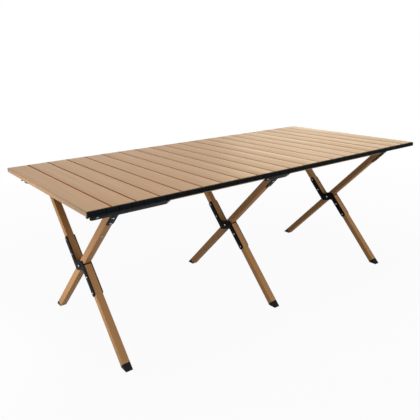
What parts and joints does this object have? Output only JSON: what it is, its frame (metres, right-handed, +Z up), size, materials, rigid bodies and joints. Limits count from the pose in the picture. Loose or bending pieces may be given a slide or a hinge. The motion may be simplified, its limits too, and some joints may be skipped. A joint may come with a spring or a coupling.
{
  "type": "folding camp table",
  "caption": "Roll-top folding camp table: wood-look aluminium slats with black end caps on crossed tube legs, rails and black steel plates.",
  "frame": {"origin": "on the ground under the middle of the table top", "axes": "+X along the table towards the end that shows at the right of the picture, +Y across it away from the viewer, +Z up"},
  "size_m": [1.196, 0.586, 0.45],
  "materials": {
    "slat": "satin",
    "rail_tube": "satin",
    "through_leg_tube": "satin",
    "split_leg_tube": "satin",
    "cross_plate": "satin",
    "gusset": "satin",
    "foot": "matte",
    "end_plug": "matte",
    "pivot_pin": "satin"
  },
  "bodies": {
    "split_leg_frame": {"upper_half_leg_left": "split_leg_tube", "lower_half_leg_left": "split_leg_tube", "upper_end_plug_left": "end_plug", "lower_end_plug_left": "end_plug", "outer_cross_plate_left": "cross_plate", "inner_cross_plate_left": "cross_plate", "near_foot_left": "foot", "far_gusset_left": "gusset", "upper_half_leg_middle": "split_leg_tube", "lower_half_leg_middle": "split_leg_tube", "upper_end_plug_middle": "end_plug", "lower_end_plug_middle": "end_plug", "outer_cross_plate_middle": "cross_plate", "inner_cross_plate_middle": "cross_plate", "near_foot_middle": "foot", "far_gusset_middle": "gusset", "upper_half_leg_right": "split_leg_tube", "lower_half_leg_right": "split_leg_tube", "upper_end_plug_right": "end_plug", "lower_end_plug_right": "end_plug", "outer_cross_plate_right": "cross_plate", "inner_cross_plate_right": "cross_plate", "near_foot_right": "foot", "far_gusset_right": "gusset", "far_rail_left": "rail_tube", "far_rail_right": "rail_tube"},
    "through_leg_frame": {"through_leg_left": "through_leg_tube", "pivot_pin_left": "pivot_pin", "far_foot_left": "foot", "near_gusset_left": "gusset", "through_leg_middle": "through_leg_tube", "pivot_pin_middle": "pivot_pin", "far_foot_middle": "foot", "near_gusset_middle": "gusset", "through_leg_right": "through_leg_tube", "pivot_pin_right": "pivot_pin", "far_foot_right": "foot", "near_gusset_right": "gusset", "near_rail_left": "rail_tube", "near_rail_right": "rail_tube"},
    "slat_01": {"slat_01": "slat"},
    "slat_02": {"slat_02": "slat"},
    "slat_03": {"slat_03": "slat"},
    "slat_04": {"slat_04": "slat"},
    "slat_05": {"slat_05": "slat"},
    "slat_06": {"slat_06": "slat"},
    "slat_07": {"slat_07": "slat"},
    "slat_08": {"slat_08": "slat"},
    "slat_09": {"slat_09": "slat"},
    "slat_10": {"slat_10": "slat"},
    "slat_11": {"slat_11": "slat"},
    "slat_12": {"slat_12": "slat"},
    "slat_13": {"slat_13": "slat"},
    "slat_14": {"slat_14": "slat"},
    "slat_15": {"slat_15": "slat"},
    "slat_16": {"slat_16": "slat"},
    "slat_17": {"slat_17": "slat"},
    "slat_18": {"slat_18": "slat"},
    "slat_19": {"slat_19": "slat"},
    "slat_20": {"slat_20": "slat"}
  },
  "joints": [
    {"name": "top_lift", "type": "slide", "parent": "split_leg_frame", "child": "slat_01", "axis": [0, 0, 1], "range_m": [0, 0.5]},
    {"name": "scissor_fold", "type": "hinge", "parent": "split_leg_frame", "child": "through_leg_frame", "pos_m": [0, 0, 0.2105], "axis": [-1, 0, 0], "range_deg": [0, 89.5]},
    {"name": "roll_01", "type": "hinge", "parent": "slat_01", "child": "slat_02", "pos_m": [-0.54, 0, 0.45], "axis": [0, -1, 0], "range_deg": [0, 31.52]},
    {"name": "roll_02", "type": "hinge", "parent": "slat_02", "child": "slat_03", "pos_m": [-0.48, 0, 0.45], "axis": [0, -1, 0], "range_deg": [0, 32.27]},
    {"name": "roll_03", "type": "hinge", "parent": "slat_03", "child": "slat_04", "pos_m": [-0.42, 0, 0.45], "axis": [0, -1, 0], "range_deg": [0, 33.07]},
    {"name": "roll_04", "type": "hinge", "parent": "slat_04", "child": "slat_05", "pos_m": [-0.36, 0, 0.45], "axis": [0, -1, 0], "range_deg": [0, 33.93]},
    {"name": "roll_05", "type": "hinge", "parent": "slat_05", "child": "slat_06", "pos_m": [-0.3, 0, 0.45], "axis": [0, -1, 0], "range_deg": [0, 34.86]},
    {"name": "roll_06", "type": "hinge", "parent": "slat_06", "child": "slat_07", "pos_m": [-0.24, 0, 0.45], "axis": [0, -1, 0], "range_deg": [0, 35.88]},
    {"name": "roll_07", "type": "hinge", "parent": "slat_07", "child": "slat_08", "pos_m": [-0.18, 0, 0.45], "axis": [0, -1, 0], "range_deg": [0, 36.99]},
    {"name": "roll_08", "type": "hinge", "parent": "slat_08", "child": "slat_09", "pos_m": [-0.12, 0, 0.45], "axis": [0, -1, 0], "range_deg": [0, 38.22]},
    {"name": "roll_09", "type": "hinge", "parent": "slat_09", "child": "slat_10", "pos_m": [-0.06, 0, 0.45], "axis": [0, -1, 0], "range_deg": [0, 39.58]},
    {"name": "roll_10", "type": "hinge", "parent": "slat_10", "child": "slat_11", "pos_m": [0, 0, 0.45], "axis": [0, -1, 0], "range_deg": [0, 41.09]},
    {"name": "roll_11", "type": "hinge", "parent": "slat_11", "child": "slat_12", "pos_m": [0.06, 0, 0.45], "axis": [0, -1, 0], "range_deg": [0, 42.8]},
    {"name": "roll_12", "type": "hinge", "parent": "slat_12", "child": "slat_13", "pos_m": [0.12, 0, 0.45], "axis": [0, -1, 0], "range_deg": [0, 44.74]},
    {"name": "roll_13", "type": "hinge", "parent": "slat_13", "child": "slat_14", "pos_m": [0.18, 0, 0.45], "axis": [0, -1, 0], "range_deg": [0, 46.98]},
    {"name": "roll_14", "type": "hinge", "parent": "slat_14", "child": "slat_15", "pos_m": [0.24, 0, 0.45], "axis": [0, -1, 0], "range_deg": [0, 49.61]},
    {"name": "roll_15", "type": "hinge", "parent": "slat_15", "child": "slat_16", "pos_m": [0.3, 0, 0.45], "axis": [0, -1, 0], "range_deg": [0, 52.75]},
    {"name": "roll_16", "type": "hinge", "parent": "slat_16", "child": "slat_17", "pos_m": [0.36, 0, 0.45], "axis": [0, -1, 0], "range_deg": [0, 56.6]},
    {"name": "roll_17", "type": "hinge", "parent": "slat_17", "child": "slat_18", "pos_m": [0.42, 0, 0.45], "axis": [0, -1, 0], "range_deg": [0, 61.48]},
    {"name": "roll_18", "type": "hinge", "parent": "slat_18", "child": "slat_19", "pos_m": [0.48, 0, 0.45], "axis": [0, -1, 0], "range_deg": [0, 68]},
    {"name": "roll_19", "type": "hinge", "parent": "slat_19", "child": "slat_20", "pos_m": [0.54, 0, 0.45], "axis": [0, -1, 0], "range_deg": [0, 77.43]}
  ],
  "couplings": [
    {"joint": "scissor_fold", "follows": "top_lift", "rad_per_m": 3.12},
    {"joint": "roll_02", "follows": "roll_01", "ratio": 1.0236},
    {"joint": "roll_03", "follows": "roll_01", "ratio": 1.0489},
    {"joint": "roll_04", "follows": "roll_01", "ratio": 1.0763},
    {"joint": "roll_05", "follows": "roll_01", "ratio": 1.1059},
    {"joint": "roll_06", "follows": "roll_01", "ratio": 1.1382},
    {"joint": "roll_07", "follows": "roll_01", "ratio": 1.1735},
    {"joint": "roll_08", "follows": "roll_01", "ratio": 1.2123},
    {"joint": "roll_09", "follows": "roll_01", "ratio": 1.2554},
    {"joint": "roll_10", "follows": "roll_01", "ratio": 1.3034},
    {"joint": "roll_11", "follows": "roll_01", "ratio": 1.3576},
    {"joint": "roll_12", "follows": "roll_01", "ratio": 1.4193},
    {"joint": "roll_13", "follows": "roll_01", "ratio": 1.4904},
    {"joint": "roll_14", "follows": "roll_01", "ratio": 1.5738},
    {"joint": "roll_15", "follows": "roll_01", "ratio": 1.6734},
    {"joint": "roll_16", "follows": "roll_01", "ratio": 1.7955},
    {"joint": "roll_17", "follows": "roll_01", "ratio": 1.9505},
    {"joint": "roll_18", "follows": "roll_01", "ratio": 2.1573},
    {"joint": "roll_19", "follows": "roll_01", "ratio": 2.4565}
  ]
}
